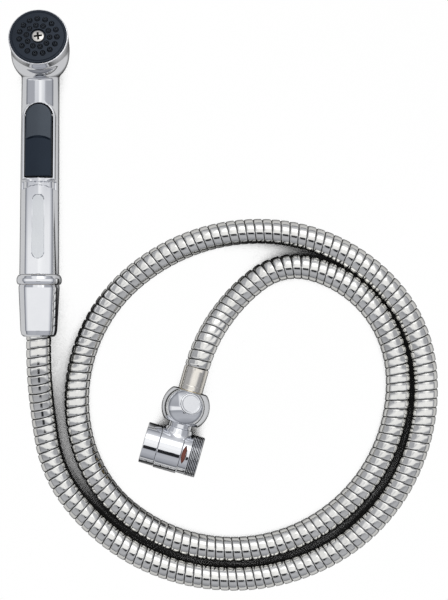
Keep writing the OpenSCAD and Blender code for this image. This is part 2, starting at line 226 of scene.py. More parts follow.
def surface_net(shape, low, high, cell):
    """The zero surface of shape as points, quads and normals."""
    low, high = np.array(low, float), np.array(high, float)
    value = sample_grid(shape, low, high, cell)
    inside = value < 0
    size = np.array(value.shape) - 1
    corners_in = np.zeros(size, int)
    for a, b, c in np.ndindex(2, 2, 2):
        corners_in += inside[a:a + size[0], b:b + size[1], c:c + size[2]]
    mixed = (corners_in > 0) & (corners_in < 8)
    cell_index = -np.ones(size, int)
    cell_index[mixed] = np.arange(mixed.sum())
    points = low + cell * cell_points(value, np.argwhere(mixed))
    quads = net_quads(inside, cell_index)
    for _ in range(3):  # pull the points onto the surface
        distance = shape(points)
        slope = gradient(shape, points)
        move = distance / np.maximum((slope * slope).sum(1), 0.05)
        points = points - np.clip(move, -0.5 * cell, 0.5 * cell)[:, None] * slope
    return points, quads, unit_rows(gradient(shape, points))


def stand_for(ob, cad_piece):
    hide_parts(cad_piece)


def carved_piece(name, shape, box, cells, place, body, material, replaces, paints=()):
    """box: its low and high corners; cells: a pair of grid cells, of which only the second is
    used.
    """
    cell = cells[1]
    verts, quads, normals = surface_net(shape, *box, cell)
    ob = make_mesh(name, verts, quads, normals, place, body, material)
    for inside, coat in paints:
        paint(ob, place, inside, coat)
    stand_for(ob, replaces)


# ------------------------------------------------------------------ turned rings


def fillet(profile):
    """Round the corners of a closed counter-clockwise profile; gives points and normals."""
    steps = 5
    points, normals = [], []
    corners = [np.array(row[:2], float) for row in profile]
    for i, corner in enumerate(corners):
        before = corner - corners[i - 1]
        after = corners[(i + 1) % len(corners)] - corner
        length_a, length_b = np.linalg.norm(before), np.linalg.norm(after)
        before, after = before / length_a, after / length_b
        normal_a = np.array([before[1], -before[0]])
        normal_b = np.array([after[1], -after[0]])
        angle = math.acos(np.clip(np.dot(before, after), -1, 1))
        setback = min(profile[i][2] * math.tan(angle / 2), 0.45 * length_a, 0.45 * length_b)
        radius = setback / math.tan(angle / 2)
        if before[0] * after[1] - before[1] * after[0] <= 0:  # a hollow corner
            radius = -radius
        centre = corner - before * setback - normal_a * radius
        for k in range(steps + 1):
            share = k / steps
            normal = (normal_a * math.sin((1 - share) * angle)
                      + normal_b * math.sin(share * angle))
            normal /= max(np.linalg.norm(normal), 1e-9)
            points.append(centre + normal * radius)
            normals.append(normal)
    return np.array(points), np.array(normals)


def lathe(name, profile, place, body, material, replaces):
    """A ring turned about the y axis from a closed profile of (radius, y, corner radius)."""
    segments = 128
    points, normals = fillet(profile)
    count = len(points)
    angle = np.arange(segments) * 2 * math.pi / segments

    def spun(pairs):
        return np.stack([np.outer(np.cos(angle), pairs[:, 0]),
                         np.tile(pairs[:, 1], (segments, 1)),
                         np.outer(np.sin(angle), pairs[:, 0])], -1).reshape(-1, 3)

    verts, normals = spun(points), spun(normals)
    i, j = np.meshgrid(np.arange(segments), np.arange(count), indexing="ij")
    next_i, next_j = (i + 1) % segments, (j + 1) % count
    faces = np.stack([i * count + j, i * count + next_j,
                      next_i * count + next_j, next_i * count + j], -1).reshape(-1, 4)
    outward = normals[faces[0, 0]] + normals[faces[0, 1]]
    if np.dot(face_cross(verts, faces[:1])[0], outward) < 0:
        faces = faces[:, ::-1]
    stand_for(make_mesh(name, verts, faces, normals, place, body, material), replaces)


# ------------------------------------------------------------------ shader nodes


def cleared_nodes(owner):
    owner.use_nodes = True
    owner.node_tree.nodes.clear()
    return owner.node_tree


def node(nt, kind, inputs, **settings):
    """A shader node; each input takes a socket to link, or a value (RGB for a colour)."""
    made = nt.nodes.new("ShaderNode" + kind)
    for key, value in settings.items():
        setattr(made, key, value)
    for key, value in inputs.items():
        socket = made.inputs[key]
        if isinstance(value, bpy.types.NodeSocket):
            nt.links.new(value, socket)
        else:
            socket.default_value = (*value, 1.0) if socket.type == "RGBA" else value
    return made


def mix_colour(nt, factor, a, b):
    return node(nt, "Mix", {0: factor, 6: a, 7: b}, data_type="RGBA").outputs[2]


def mix_value(nt, factor, a, b):
    return node(nt, "Mix", {0: factor, 2: a, 3: b}, data_type="FLOAT").outputs[0]


def arithmetic(nt, operation, *values):
    return node(nt, "Math", dict(enumerate(values)), operation=operation).outputs[0]


def mapped(nt, value, source, target):
    inputs = dict(enumerate((value, *source, *target)))
    return node(nt, "MapRange", inputs).outputs[0]


def ramp(nt, value, stops):
    """A grey colour ramp through stops of (position, brightness)."""
    made = node(nt, "ValToRGB", {0: value})
    elements = made.color_ramp.elements
    elements.remove(elements[-1])
    elements[0].position = stops[0][0]
    elements[0].color = (stops[0][1],) * 3 + (1,)
    for position, grey in stops[1:]:
        elements.new(position).color = (grey,) * 3 + (1,)
    return made.outputs[0]


def noise(nt, scale, detail, roughness=0.55, stretch=(1, 1, 1)):
    coords = node(nt, "TexCoord", {})
    mapping = node(nt, "Mapping", {"Scale": stretch, 0: coords.outputs["Object"]})
    return node(nt, "TexNoise", {"Scale": scale, "Detail": detail, "Roughness": roughness,
                                 "Vector": mapping.outputs[0]}).outputs[0]


# ------------------------------------------------------------------ materials


def surface(name, colours, roughness, patch, grain, bump, bump_depth, metallic=0.0,
            stretch=(1, 1, 1), specular=0.5, coat=0.0, sheen=(1, 1, 1), painted_shade_reach=None):
    """Colour and roughness wander between two values; a fine grain goes into the bump.

    patch and grain are the noise scales, bump the bump's strength and bump_depth its depth
    in mm, stretch the grain's scale along each axis. The shade reach (metres) paints shade in
    crevices.
    """
    material = bpy.data.materials.new(name)
    nt = cleared_nodes(material)
    patches = noise(nt, patch, detail=5.0)
    fine = noise(nt, grain, detail=3.0, roughness=0.6, stretch=stretch)
    colour = mix_colour(nt, mapped(nt, patches, (0.35, 0.65), (0.0, 1.0)), *colours)
    # painted shade: ambient occlusion darkens the colour in crevices, down to a quarter of the
    # first colour
    if painted_shade_reach:
        shade = node(nt, "AmbientOcclusion", {"Distance": painted_shade_reach}, samples=4)
        open_share = mapped(nt, shade.outputs["AO"], (0.2, 0.9), (0.0, 1.0))
        colour = mix_colour(nt, open_share, tuple(0.25 * c for c in colours[0]), colour)
    low, high = roughness
    rough = arithmetic(nt, "ADD", mapped(nt, patches, (0.3, 0.7), (low, high)),
                       mapped(nt, fine, (0.3, 0.7), (-0.15 * low, 0.15 * high)))
    relief = node(nt, "Bump", {"Strength": bump, "Distance": bump_depth * MM, "Height": fine})
    shader = node(nt, "BsdfPrincipled", {
        "Base Color": colour, "Metallic": metallic, "Roughness": rough,
        "Specular IOR Level": specular, "Specular Tint": sheen,
        "Coat Weight": coat, "Coat Roughness": 0.12, "Normal": relief.outputs[0]})
    node(nt, "OutputMaterial", {0: shader.outputs[0]})
    return material


CHROME = surface("chrome_plate", colours=((0.80, 0.81, 0.84), (0.86, 0.87, 0.89)), metallic=1.0,
                 roughness=(0.035, 0.075), patch=35, grain=900, bump=0.03, bump_depth=0.01)
STEEL = surface("hose_strip_steel", colours=((0.77, 0.765, 0.74), (0.84, 0.835, 0.815)),
                metallic=1.0, roughness=(0.07, 0.13), patch=90, grain=2600, bump=0.08,
                bump_depth=0.02)
SLEEVE = surface("sleeve_satin_steel", colours=((0.80, 0.765, 0.70), (0.87, 0.835, 0.775)),
                 metallic=1.0, roughness=(0.07, 0.12), patch=80, grain=1400, bump=0.22,
                 bump_depth=0.03, stretch=(1, 1, 8))
FACE = surface("soft_black_face", colours=((0.004, 0.006, 0.010), (0.007, 0.010, 0.016)),
               roughness=(0.20, 0.27), patch=50, grain=2600, bump=0.20, bump_depth=0.04,
               specular=0.40, sheen=(0.68, 0.80, 1.0))
LEVER = surface("moulded_black_lever", colours=((0.003, 0.005, 0.009), (0.005, 0.008, 0.014)),
                roughness=(0.16, 0.22), patch=45, grain=2200, bump=0.12, bump_depth=0.03,
                sheen=(0.60, 0.76, 1.0))
BRASS = surface("machined_brass", colours=((0.72, 0.56, 0.26), (0.82, 0.66, 0.36)),
                metallic=1.0, roughness=(0.22, 0.34), patch=60, grain=1600, bump=0.2,
                bump_depth=0.02, stretch=(1, 12, 1))
BRIGHT = surface("bright_steel", colours=((0.62, 0.62, 0.63), (0.74, 0.74, 0.75)), metallic=1.0,
                 roughness=(0.16, 0.28), patch=80, grain=1800, bump=0.15, bump_depth=0.02)
SEAL = surface("moulded_rubber", colours=((0.018, 0.018, 0.018), (0.035, 0.034, 0.033)),
               roughness=(0.55, 0.7), patch=70, grain=2400, bump=0.3, bump_depth=0.04)
LINER = surface("extruded_liner", colours=((0.05, 0.05, 0.055), (0.08, 0.08, 0.085)),
                roughness=(0.4, 0.5), patch=40, grain=1800, bump=0.2, bump_depth=0.03)
FIBRE = surface("red_brown_fibre", colours=((0.17, 0.045, 0.030), (0.26, 0.085, 0.055)),
                roughness=(0.6, 0.8), patch=120, grain=3500, bump=0.6, bump_depth=0.08)
# painted highlight: a brighter, glossier copy of the face's black for the nubs, so they catch
# highlights
NUB_HIGHLIGHT = surface("nub_painted_highlight", colours=((0.014, 0.017, 0.022), (0.020, 0.024, 0.031)),
              metallic=0.25, roughness=(0.06, 0.10), patch=60, grain=2600, bump=0.05,
              bump_depth=0.02, specular=0.7, coat=0.5, sheen=(0.66, 0.80, 1.0))
# painted shade: a near-black material for the moats round the nubs and their jet holes
MOAT_SHADE = surface("moat_painted_shade", colours=((0.001, 0.001, 0.001), (0.002, 0.002, 0.003)),
               roughness=(0.6, 0.7), patch=60, grain=2600, bump=0.1, bump_depth=0.02,
               specular=0.1)
# painted sheen: a brighter, more reflective copy of the lever's black for its upper part
LEVER_TOP_SHEEN = surface("lever_upper_sheen", colours=((0.006, 0.008, 0.012), (0.010, 0.013, 0.018)),
                    roughness=(0.20, 0.26), patch=45, grain=2200, bump=0.12, bump_depth=0.03,
                    specular=1.0, coat=0.2, sheen=(0.70, 0.83, 1.0))
# painted shade: a near-black material laid where shade falls in gaps, pockets and recesses
PAINTED_SHADE_BLACK = surface("crevice_painted_shade", colours=((0.003, 0.003, 0.003), (0.008, 0.008, 0.008)),
                  metallic=0.2, roughness=(0.55, 0.65), patch=200, grain=3000, bump=0.2,
                  bump_depth=0.03)
# the screw's colour has painted shade in its crevices, set by the shade reach below
SCREW = surface("screw_nickel", colours=((0.62, 0.60, 0.57), (0.74, 0.72, 0.69)), metallic=1.0,
                roughness=(0.12, 0.2), patch=120, grain=2600, bump=0.12, bump_depth=0.015,
                painted_shade_reach=0.0009)
SATIN = surface("chrome_recess", colours=((0.66, 0.68, 0.71), (0.74, 0.76, 0.78)), metallic=1.0,
                roughness=(0.10, 0.16), patch=35, grain=900, bump=0.04, bump_depth=0.01)

SLOT_MATERIAL = {"chrome": CHROME, "hose_steel": STEEL, "sleeve_satin": SLEEVE,
                 "black_soft": FACE, "black_plastic": LEVER, "brass": BRASS,
                 "steel": BRIGHT, "seal": SEAL, "liner": LINER, "fibre": FIBRE}


def dress_cad_pieces():
    slot_of = {part["node"]: part["material_slot"] for part in frame["record"]["subparts"]}
    for name, ob in frame["nodes"].items():
        material = SLOT_MATERIAL[slot_of[name]]
        if not ob.material_slots:
            ob.data.materials.append(material)
        for slot in ob.material_slots:
            slot.link = "OBJECT"
            slot.material = material


dress_cad_pieces()

# ------------------------------------------------------------------ the hose's path

NECK_X = 17.5      # the neck's place along the tee's axis
CAP_TILT = rot("x", -14.5)
TEE = Place(rot("z", -16))
NECK = TEE * Place(shift=(NECK_X, 0, 0))
BALL = NECK * Place(rot("y", 12), (0, 25.8, 0))
CAP = BALL * Place(CAP_TILT)
HOSE_START = NECK * Place(rot("z", 90), (0, 49.1, 0))
DROP = 6.8         # how far the coil lies below the tee and the sprayer
STEP = 0.5         # between points of the path


def s_bends(radius, angle, way):
    """Two opposite rolled bends that change the height by DROP."""
    roll = way * math.degrees(math.asin(DROP / (radius * math.sin(math.radians(angle)) ** 2)))
    return [(radius, angle, roll), (radius, angle, -roll)]


# each run's bends to the right: radius, angle and roll in degrees
RUNS = {
    "tail": s_bends(64, 22, 1),
    "inner": [(90, 9.5, 0), (36, 51.5, 0)],
    "coil": [(67, 72, 0), (95.5, 131.5, 0), (77.5, 34.5, 0), (92.5, 65.5, 0), (111, 46, 0),
             (99.5, 42, 0), (82, 37.5, 0), (111.5, 32.5, 0), (104, 32.5, 0)],
    "rise": [(115.5, 44, 0)],
    "swing": [(116, 40, 0), (75, 14.5, 0)],
    "lead": [(75.5, 12.5, 0)] + s_bends(105, 15.2, -1),
}


def bend_part(radius, angle, roll, share):
    """The place a share of the way along a bend."""
    angle = math.radians(angle * share)
    shift = np.array([radius * math.sin(angle), -radius * (1 - math.cos(angle)), 0])
    rolled = rot("x", roll)
    return Place(rolled @ rot("z", -math.degrees(angle)) @ rolled.T, rolled @ shift)


def level(place, z):
    heading = math.degrees(math.atan2(place.turn[1, 0], place.turn[0, 0]))
    return Place(rot("z", heading), (place.shift[0], place.shift[1], z))


def walk_runs():
    """The path's points, the first point of each run, and the place at the end."""
    points, firsts = [], {}
    at = HOSE_START
    for name, bends in RUNS.items():
        firsts[name] = len(points)
        if name == "inner":
            at = level(at, -DROP)
        for radius, angle, roll in bends:
            count = max(2, int(round(radius * math.radians(angle) / STEP)))
            for k in range(count):
                points.append((at * bend_part(radius, angle, roll, k / count)).shift)
            at = at * bend_part(radius, angle, roll, 1.0)
    return np.array(points), firsts, at


def smoothed(points):
    """Points averaged under a bell curve, run on straight past both ends."""
    half, spread = 16, 2.2  # points each way, millimetres
    weights = np.exp(-0.5 * (np.arange(-half, half + 1) * STEP / spread) ** 2)
    weights /= weights.sum()
    count = np.arange(1, half + 1)[:, None]
    padded = np.concatenate([points[:1] - (points[1] - points[0]) * count[::-1], points,
                             points[-1:] + (points[-1] - points[-2]) * count])
    return np.stack([np.convolve(padded[:, k], weights, "valid") for k in range(3)], 1)


path, run_firsts, path_end = walk_runs()
END = np.array([path_end.shift[0], path_end.shift[1], 0.0])
LEAN = math.degrees(math.atan2(path_end.turn[0, 0], path_end.turn[1, 0]))
SPRAYER = Place(rot("z", -LEAN), END)
HEAD_CENTRE = (0, 169.9, 3.2)
HEAD_TILT = rot("x", -17)
HEAD = SPRAYER * Place(HEAD_TILT, HEAD_CENTRE)

LEAD_IN, LEAD_OUT = 30, 40  # straight points added before and after the path
before = [path[0] - HOSE_START.turn[:, 0] * STEP * k for k in range(LEAD_IN, 0, -1)]
after = [END + SPRAYER.turn[:, 1] * STEP * k for k in range(LEAD_OUT)]
centre_line = smoothed(np.concatenate([before, path, after]))
arc = np.concatenate([[0], np.cumsum(np.linalg.norm(np.diff(centre_line, axis=0), axis=1))])
arc = arc - arc[LEAD_IN]
ARC_AT = {name: arc[first + LEAD_IN] for name, first in run_firsts.items()}
ARC_END = arc[LEAD_IN + len(path)]
tangent = np.gradient(centre_line, arc, axis=0)
tangent /= np.linalg.norm(tangent, axis=1, keepdims=True)
rightward = np.cross(tangent, [0, 0, 1.0])
rightward /= np.linalg.norm(rightward, axis=1, keepdims=True)
upward = np.cross(rightward, tangent)
# positive where the path turns right
curvature = np.einsum("ij,ij->i", np.gradient(tangent, arc, axis=0), rightward)
curvature = np.convolve(np.pad(curvature, 8, mode="edge"), np.ones(17) / 17, "valid")


def on_line(length, table):
    """table's vectors at each arc length."""
    length = np.asarray(length, float)
    return np.stack([np.interp(length, arc, table[:, k]) for k in range(3)], -1)


# ------------------------------------------------------------------ the hose's wound strip

PITCH = 5.0
STRIP = 4.36       # the strip's width
HOSE_RADIUS = 7.1
COLS = 48          # columns round the hose
ROWS = 12          # rows to a turn
MIN_GAP = 0.125    # the least gap between turns, as a share of the pitch
# rows in the gap: place across it, depth as a share of the gap's
GAP_ROWS = [(0.0, 0.55), (0.15, 1.0), (0.80, 0.98)]
# rows across the strip from its tucked edge to its lip: place across it, height
STRIP_ROWS = [(0.0, -0.24), (0.05, -0.085), (0.14, -0.038), (0.30, -0.010), (0.50, 0.0),
              (0.70, -0.006), (0.88, -0.026), (0.965, -0.062), (1.0, -0.20)]


def strip_points(first, last):
    """Points of turns first to last. Each column lies 1/COLS of a pitch further on than the
    one before, so the pattern is one continuous helix."""
    rows = (last - first) * ROWS + 1
    i = np.arange(rows)[:, None] + first * ROWS
    j = np.arange(COLS + 1)[None, :]
    turn, row = i // ROWS, i % ROWS
    angle = -2 * math.pi * j / COLS + 0.6
    bend = np.interp((turn + j / COLS + 0.5) * PITCH, arc, curvature)
    stretch = 1 - bend * HOSE_RADIUS * np.cos(angle)
    gap = np.clip(1 - STRIP / (PITCH * stretch), MIN_GAP, 0.45)
    opened = np.clip((gap - MIN_GAP) / 0.13, 0, 1)
    depth = 0.42 + opened * 0.48
    along = np.zeros((rows, COLS + 1))
    height = np.zeros((rows, COLS + 1))
    for q in range(ROWS):
        mine = row[:, 0] == q
        if q < len(GAP_ROWS):
            across, share = GAP_ROWS[q]
            along[mine] = (across * gap)[mine]
            height[mine] = (-depth * share)[mine]
        else:
            across, rise = STRIP_ROWS[q - len(GAP_ROWS)]
            across = across * 0.995
            along[mine] = (gap + (1 - gap) * across)[mine]
            height[mine] = (rise - opened * 0.34 * max(0.0, 1 - across / 0.55) ** 2
                            + opened * 0.12 * across)[mine]
    length = (turn + along + j / COLS) * PITCH
    # the start is drawn in, under the sleeve
    drawn = 0.925 + 0.075 * np.clip((length - 0.2) / 0.6, 0, 1)
    radius = (HOSE_RADIUS + height) * drawn
    out = (np.cos(angle)[..., None] * on_line(length, rightward)
           + np.sin(angle)[..., None] * on_line(length, upward))
    return on_line(length, centre_line) + radius[..., None] * out


def strip_normals(grid):
    """Across the seam, a column's neighbour is one turn along."""
    before, after = np.empty_like(grid), np.empty_like(grid)
    before[:, 1:] = grid[:, :-1]
    before[:, 0] = grid[:, 0]
    before[ROWS:, 0] = grid[:-ROWS, -2]
    after[:, :-1] = grid[:, 1:]
    after[:, -1] = grid[:, -1]
    after[:-ROWS, -1] = grid[ROWS:, 1]
    return np.cross(np.gradient(grid, axis=0), after - before)


def strip_mesh(name, first, last, rides, joint):
    """Turns first to last, riding one body; a strip with a joint rides none and is baked in
    place.
    """
    grid = strip_points(first - 1, last + 1)  # a spare turn at each end for the normals
    normals = strip_normals(grid)[ROWS:-ROWS].reshape(-1, 3)
    grid = grid[ROWS:-ROWS]
    rows = len(grid)
    ids = np.arange(rows * (COLS + 1)).reshape(rows, COLS + 1)
    use = ids.copy()
    use[:-ROWS, COLS] = ids[ROWS:, 0]  # the seam column is the first column, a turn along
    keep = np.unique(use)
    renumber = -np.ones(rows * (COLS + 1), int)
    renumber[keep] = np.arange(len(keep))
    faces = np.stack([use[:-1, :-1], use[1:, :-1], use[1:, 1:], use[:-1, 1:]], -1)
    faces = renumber[faces.reshape(-1, 4)]
    verts, normals = grid.reshape(-1, 3)[keep], normals[keep]
    # turn the faces, then the normals, outwards, judged by the first faces
    probe = faces[:200]
    middle = verts[probe].mean(1)
    line = on_line(np.linspace(first * PITCH, (last + 1) * PITCH, 400), centre_line)
    nearest = np.argmin(((middle[:, None] - line[None]) ** 2).sum(-1), 1)
    if (face_cross(verts, probe) * (middle - line[nearest])).sum() < 0:
        faces = faces[:, ::-1]
    probe = faces[:200]
    if (face_cross(verts, probe) * normals[probe[:, 0]]).sum() < 0:
        normals = -normals
    body = rides if joint is None else None
    ob = make_mesh(name, verts, faces, normals, Place(), body, STEEL)
    if joint is not None:
        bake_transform(ob)
    # the bottom of the gap between one turn and the next gets painted shade: the near-black
    # material
    ob.data.materials.append(PAINTED_SHADE_BLACK)
    row = np.repeat(np.arange(rows - 1), COLS) % ROWS
    gap_shade_rows = np.where((row < 2) | (row == ROWS - 1), 1, 0)
    ob.data.polygons.foreach_set("material_index", gap_shade_rows.astype(np.int32))
    return ob


BEND_REACH = 23.75   # how far a bend's strip runs each side of its joint


def hose_cuts():
    """Strips in order: name, arc length of its end, what it rides, arc length of its joint."""
    cuts = [("tail", ARC_AT["inner"] - BEND_REACH, "hose_tail", None),
            ("tail_bend", ARC_AT["inner"] + BEND_REACH, ("hose_tail", "hose_inner"),
             ARC_AT["inner"]),
            ("inner_bend", ARC_AT["coil"] + BEND_REACH, ("hose_inner", "hose_coil"),
             ARC_AT["coil"])]
    for part, following in (("coil", "rise"), ("rise", "swing"), ("swing", "lead")):
        joint = ARC_AT[following]
        cuts.append((part, joint - BEND_REACH, "hose_" + part, None))
        cuts.append((following + "_bend", joint + BEND_REACH,
                     ("hose_" + part, "hose_" + following), joint))
    return cuts + [("lead", ARC_END + 10.0, "hose_lead", None)]


def build_hose():
    first = -1
    for name, end, rides, joint in hose_cuts():
        last = int(round(end / PITCH))
        strip_mesh("hose_strip_" + name, first, last, rides, joint)
        first = last
    for part in RUNS:
        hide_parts("hose_cover_" + part)


build_hose()

# ------------------------------------------------------------------ sprayer
# y runs along the handle from the nut to the head, z rises on the lever's side

BARREL_START = 40.6
LEVER_START, LEVER_END, LEVER_WIDTH = 96.2, 137.4, 15.0
HINGE_Y = 131
RECESS_Y, RECESS_HALF, RECESS_RADIUS, RECESS_FLOOR = 67.9, 14.7, 3.4, 10.28
HEAD_RADIUS = 16.6
FACE_SEAT = 11.1    # along the head's axis


def lever_pocket(x, y):
    return tongue(x, y, LEVER_START - 0.45, LEVER_END + 0.45, LEVER_WIDTH + 0.9)


def from_recess(x, y):
    """Distance from the middle line of the long flat recess."""
    return np.hypot(x, np.maximum(np.abs(y - RECESS_Y) - RECESS_HALF, 0))


def head_shape(points):
    """A ball with a cup towards the face, and a bulb behind that runs into the handle."""
    x, y, z = points.T
    head_x, head_y, head_z = ((points - np.array(HEAD_CENTRE)) @ HEAD_TILT).T
    ball = np.sqrt(head_x * head_x + head_y * head_y + head_z * head_z) - HEAD_RADIUS
    cup = np.hypot(head_x, head_y) - (HEAD_RADIUS + 0.3 * np.clip(head_z, 0, 15.2) / 15.2)
    head = meet(np.where(head_z < 0, ball, cup), head_z - 15.25, 0.45)
    bulb = np.sqrt(x * x + (y - 166.2) ** 2 + (z - 3.0) ** 2) - 16.5
    return join(head, meet(bulb, head_z - 11.0, 0.4), 0.8)


def head_hollows(solid, points):
    """The chamber round the screw's post, and the face's seat."""
    head_x, head_y, head_z = ((points - np.array(HEAD_CENTRE)) @ HEAD_TILT).T
    radius = np.hypot(head_x, head_y)
    chamber = meet(meet(radius - 14.2, -3 - head_z, 0.4), head_z - 13, 0.2)
    post = meet(radius - 4.2, head_z - FACE_SEAT, 0.2)
    solid = carve(solid, carve(chamber, post, 0.2), 0.2)
    return carve(solid, meet(radius - 15.7, FACE_SEAT - head_z, 0.2), 0.3)


def casting_shape(points):
    x, y, z = points.T
    radius = np.hypot(x, z)
    barrel = 11.3 - 0.6 * (y - BARREL_START) / 119.4
    solid = meet(radius - barrel, y - 166, 0.5)
    solid = join(solid, head_shape(points), 0.9)
    # raised ledge round the lever, and the lever's pocket
    ledge = tongue(x, y, LEVER_START - 1.9, LEVER_END + 1.6, LEVER_WIDTH + 3.5)
    ledge = meet(meet(ledge, z - 9.7, 0.7), -z - 2, 0.5)
    solid = join(solid, ledge, 0.9)
    solid = carve(solid, meet(lever_pocket(x, y), 4.6 - z, 0.3), 0.35)
    # the barrel is cut back below the ledge, from a low arch on
    arch = y - (91.4 - 0.030 * x * x)
    band = meet(meet(-arch, y - (LEVER_START - 2.9), 0.1), (barrel - 0.8) - radius, 0.05)
    solid = carve(solid, meet(band, 5.2 - z, 0.1), 0.08)
    recess = meet(from_recess(x, y) - RECESS_RADIUS, RECESS_FLOOR - z, 0.06)
    solid = carve(solid, recess, 0.08)
    # bores along the handle, and one across it
    solid = meet(solid, BARREL_START - y, 0.3)
    solid = carve(solid, meet(radius - 8.95, y - 52.6, 0.2), 0.2)
    solid = carve(solid, meet(radius - 7.2, y - 84, 0.2), 0.2)
    cross_bore = meet(meet(np.hypot(x, y - 108) - 6.05, -8.2 - z, 0.2), z - 8, 0.2)
    return head_hollows(carve(solid, cross_bore, 0.2), points)


def recess_floor(x, y, z):
    return ((from_recess(x, y) < RECESS_RADIUS - 0.1)
            & (z > RECESS_FLOOR - 0.18) & (z < RECESS_FLOOR + 0.08))


# painted shade: the lever pocket's walls get the near-black material
def pocket_wall_shade(x, y, z):
    return (lever_pocket(x, y) < 0.12) & (z > 4.0) & (z < 12.9)


carved_piece("sprayer_casting", casting_shape, ((-19, 39, -15.5), (19, 192.5, 26)), (0.9, 0.5),
             SPRAYER, "sprayer", CHROME, "sprayer_body",
             [(recess_floor, SATIN), (pocket_wall_shade, PAINTED_SHADE_BLACK)])

# rings of nubs on the spray face: count, ring radius, first angle in degrees
NUB_RINGS = ((15, 10.7, 4.0), (10, 6.6, 12.0))
NUB_ANGLES = [(radius, math.radians(first + 360.0 * k / count))
              for count, radius, first in NUB_RINGS for k in range(count)]
NUBS = [(-radius * math.sin(angle), radius * math.cos(angle)) for radius, angle in NUB_ANGLES]


def face_shape(points):
    x, y, z = points.T
    radius = np.hypot(x, y)
    top = 16.62 - 0.55 * (radius / 16.3) ** 2
    lip = meet(meet(radius - 16.35, z - top, 0.8), 15.32 - z, 0.25)
    stem = meet(meet(radius - 15.55, z - 16, 0.2), 13.0 - z, 0.3)
    solid = join(lip, stem, 0.15)
    solid = carve(solid, np.hypot(radius - 14.9, z - top) - 0.22, 0.15)  # groove by the rim
    for nub_x, nub_y in NUBS:
        from_nub = np.hypot(x - nub_x, y - nub_y)
        near = from_nub < 3.2
        if not near.any():
            continue
        out, up = from_nub[near], z[near]
        nub = meet(out - (1.06 - 0.16 * np.clip(up - 16.3, 0, 2)),
                   up - 17.7 + 0.30 * out * out, 0.40)
        patch = join(solid[near], nub, 0.35)
        # a small moat and the jet hole
        patch = carve(patch, np.hypot(out - 1.42, up - top[near]) - 0.15, 0.12)
        solid[near] = carve(patch, meet(out - 0.42, 14.0 - up, 0.1), 0.12)
    # the screw head's seat and its hole
    solid = carve(solid, meet(radius - 4.3, 15.35 - z, 0.25), 0.3)
    return carve(solid, radius - 2.1, 0.1)


def near_nub(x, y, z, low, high):
    nearest = np.min([np.hypot(x - nub_x, y - nub_y) for nub_x, nub_y in NUBS], axis=0)
    return (nearest >= low) & (nearest < high) & (z > 15.9)


# painted highlight: the nubs' sides take the brighter, glossier copy of the face's black
def nub_side_highlight(x, y, z):
    return near_nub(x, y, z, 0.40, 1.20)


# painted shade: the moat round each nub and its jet hole take the near-black material
def moat_and_jet_shade(x, y, z):
    return near_nub(x, y, z, 1.20, 1.52) | near_nub(x, y, z, 0, 0.40)


carved_piece("spray_face_pad", face_shape, ((-17, -17, 12.6), (17, 17, 18.4)), (0.34, 0.22),
             HEAD, "sprayer", FACE, "spray_face",
             [(nub_side_highlight, NUB_HIGHLIGHT), (moat_and_jet_shade, MOAT_SHADE)])

SCREW_RADIUS = 3.45
CROSS_SIN, CROSS_COS = math.sin(math.radians(8)), math.cos(math.radians(8))


def screw_top(radius):
    return 17.0 - 0.55 * (radius / SCREW_RADIUS) ** 2


def cross_axes(x, y):
    """x and y along the arms of the screw's cross."""
    return x * CROSS_COS + y * CROSS_SIN, -x * CROSS_SIN + y * CROSS_COS


def screw_shape(points):
    x, y, z = points.T
    radius = np.hypot(x, y)
    head = meet(meet(radius - SCREW_RADIUS, z - screw_top(radius), 0.3), 15.45 - z, 0.1)
    wave = thread_wave(z, x, y, pitch=0.7)
    shank = meet(meet(radius - (1.92 - 0.25 * wave), z - 15.6, 0.1), 3.0 - z, 0.3)
    solid = join(head, shank, 0.1)
    u, v = cross_axes(x, y)
    above_floor = z - 15.35 - 0.40 * radius
    half_width = 0.44 + 0.12 * np.clip(z - 16, 0, 1)
    for along, across in ((u, v), (v, u)):
        arm = meet(np.abs(along) - 2.25, np.abs(across) - half_width, 0.1)
        solid = carve(solid, meet(arm, -above_floor, 0.1), 0.08)
    return solid


# painted shade: the arms of the screw's cross recess get the near-black material
def cross_recess_shade(x, y, z):
    radius = np.hypot(x, y)
    u, v = cross_axes(x, y)
    return ((z > 14) & (z < screw_top(radius) - 0.14) & (radius < 2.3)
            & (np.minimum(np.abs(u), np.abs(v)) < 0.66))


carved_piece("face_screw_cross", screw_shape, ((-3.8, -3.8, 2.6), (3.8, 3.8, 17.4)),
             (0.2, 0.13), HEAD, "sprayer", SCREW, "face_screw",
             [(cross_recess_shade, PAINTED_SHADE_BLACK)])


def lever_edge(x):
    """The curved step between the lever's lower and upper parts."""
    return 119.3 - 0.036 * x * x


def lever_shape(points):
    x, y, z = points.T
    crown = 13.45 - 0.011 * x * x
    low = 13.05 - 0.006 * x * x
    edge = lever_edge(x)
    fall = np.clip(y - edge, 0, None) * 0.105
    rise = (crown - low) * np.clip(1 - (edge - y) / 1.2, 0, 1)
    top = np.where(y > edge, crown - fall, low + rise)
    solid = meet(tongue(x, y, LEVER_START, LEVER_END, LEVER_WIDTH, 0.3), z - top, 0.75)
    solid = meet(solid, 9.65 - z, 0.3)
    lug = meet(np.abs(x) - 3, np.abs(y - HINGE_Y) - 2.2, 0.4)
    lug = meet(lug, np.maximum(6.2 - z, z - 11), 0.4)
    solid = join(solid, lug, 0.3)
    return carve(solid, np.hypot(y - HINGE_Y, z - 8.2) - 1.05, 0.1)  # hole across the lug


# painted sheen: the lever's upper part takes the brighter copy of its black
def lever_upper_sheen(x, y, z):
    return (y > lever_edge(x)) & (z > 11.2) & (np.abs(x) < 7.1)


carved_piece("thumb_lever_pad", lever_shape, ((-8.6, 94.6, 5.6), (8.6, 138.7, 14.4)),
             (0.5, 0.3), SPRAYER, "lever", LEVER, "thumb_lever",
             [(lever_upper_sheen, LEVER_TOP_SHEEN)])

